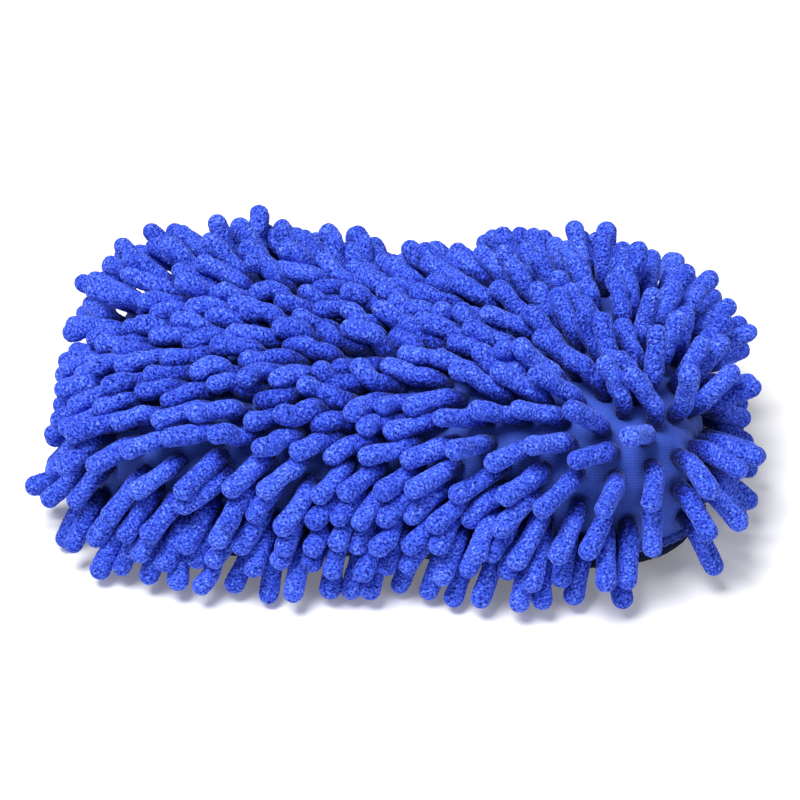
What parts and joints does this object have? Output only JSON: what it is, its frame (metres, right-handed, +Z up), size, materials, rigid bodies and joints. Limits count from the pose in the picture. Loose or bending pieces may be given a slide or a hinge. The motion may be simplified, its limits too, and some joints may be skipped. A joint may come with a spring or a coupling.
{
  "type": "wash mitt",
  "caption": "Chenille wash mitt for cars: foam-filled pad with royal-blue microfibre fingers over the top and sides, a dark mesh back and an elastic hand strap.",
  "frame": {"origin": "middle of the hand strap's flat underside, on the surface that the mitt rests on", "axes": "+X along the mitt's length, +Y across it towards the rear long side, +Z up through the chenille face"},
  "size_m": [0.2603, 0.1613, 0.0868],
  "materials": {
    "chenille": "soft matt pile",
    "knit_fabric": "matt fine knit",
    "spacer_mesh": "matt ridged mesh",
    "foam": "matt open cell",
    "thread": "satin",
    "elastic": "matt ribbed",
    "strap_thread": "satin"
  },
  "bodies": {
    "pad": {"foam_core": "foam", "chenille_cover": "knit_fabric", "mesh_back": "spacer_mesh", "perimeter_seam": "knit_fabric", "seam_thread": "thread", "strap_leg_front": "elastic", "strap_leg_rear": "elastic", "strap_tack_front": "strap_thread", "strap_tack_rear": "strap_thread", "chenille_row_01": "chenille", "chenille_row_02": "chenille", "chenille_row_03": "chenille", "chenille_row_04": "chenille", "chenille_row_05": "chenille", "chenille_row_06": "chenille", "chenille_row_07": "chenille", "chenille_row_08": "chenille", "chenille_row_09": "chenille", "chenille_row_10": "chenille", "chenille_row_11": "chenille", "chenille_row_12": "chenille", "chenille_row_13": "chenille", "chenille_row_14": "chenille", "chenille_row_15": "chenille", "chenille_row_16": "chenille", "chenille_row_17": "chenille", "chenille_row_18": "chenille", "chenille_row_19": "chenille", "chenille_row_20": "chenille", "chenille_row_21": "chenille", "chenille_row_22": "chenille", "chenille_row_23": "chenille", "chenille_row_24": "chenille"},
    "strap": {"hand_strap": "elastic"}
  },
  "joints": [
    {"name": "strap_stretch", "type": "slide", "parent": "pad", "child": "strap", "axis": [0, 0, -1], "range_m": [0, 0.025], "stiffness_N_per_m": 150, "deforming": ["strap_leg_front", "strap_leg_rear"]}
  ]
}
